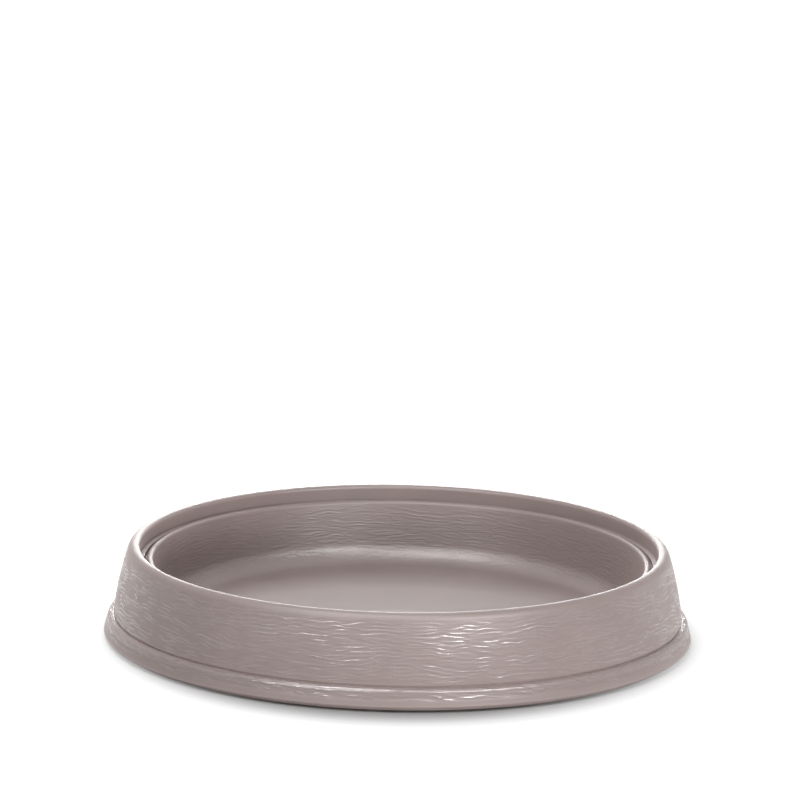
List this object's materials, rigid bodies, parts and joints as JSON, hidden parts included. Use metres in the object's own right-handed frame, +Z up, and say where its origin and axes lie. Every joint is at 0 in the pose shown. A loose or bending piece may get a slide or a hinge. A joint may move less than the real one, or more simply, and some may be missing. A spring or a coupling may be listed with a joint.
{
  "type": "plant saucer",
  "caption": "Round plant saucer with a conical textured skirt, a rolled rim and a lift-out water dish that lies in a rebate under the rim.",
  "frame": {"origin": "centre of the base, on the floor that the foot pads stand on", "axes": "+Z up along the saucer's own axis, +X through the first foot pad, +Y to the back of the pictured view"},
  "size_m": [0.3814, 0.3814, 0.0606],
  "materials": {
    "shell_resin": "satin taupe resin with a fine wavy bark relief",
    "dish_resin": "satin taupe resin, relief on the wall that fades out over its rounded foot, smooth floor",
    "pad_rubber": "matt dark grey"
  },
  "bodies": {
    "shell": {"outer_shell": "shell_resin", "foot_pad_1": "pad_rubber", "foot_pad_2": "pad_rubber", "foot_pad_3": "pad_rubber", "foot_pad_4": "pad_rubber", "foot_pad_5": "pad_rubber", "foot_pad_6": "pad_rubber"},
    "dish": {"inner_dish": "dish_resin"}
  },
  "joints": [
    {"name": "dish_lift", "type": "slide", "parent": "shell", "child": "dish", "axis": [0, 0, 1], "range_m": [0, 0.065]}
  ]
}
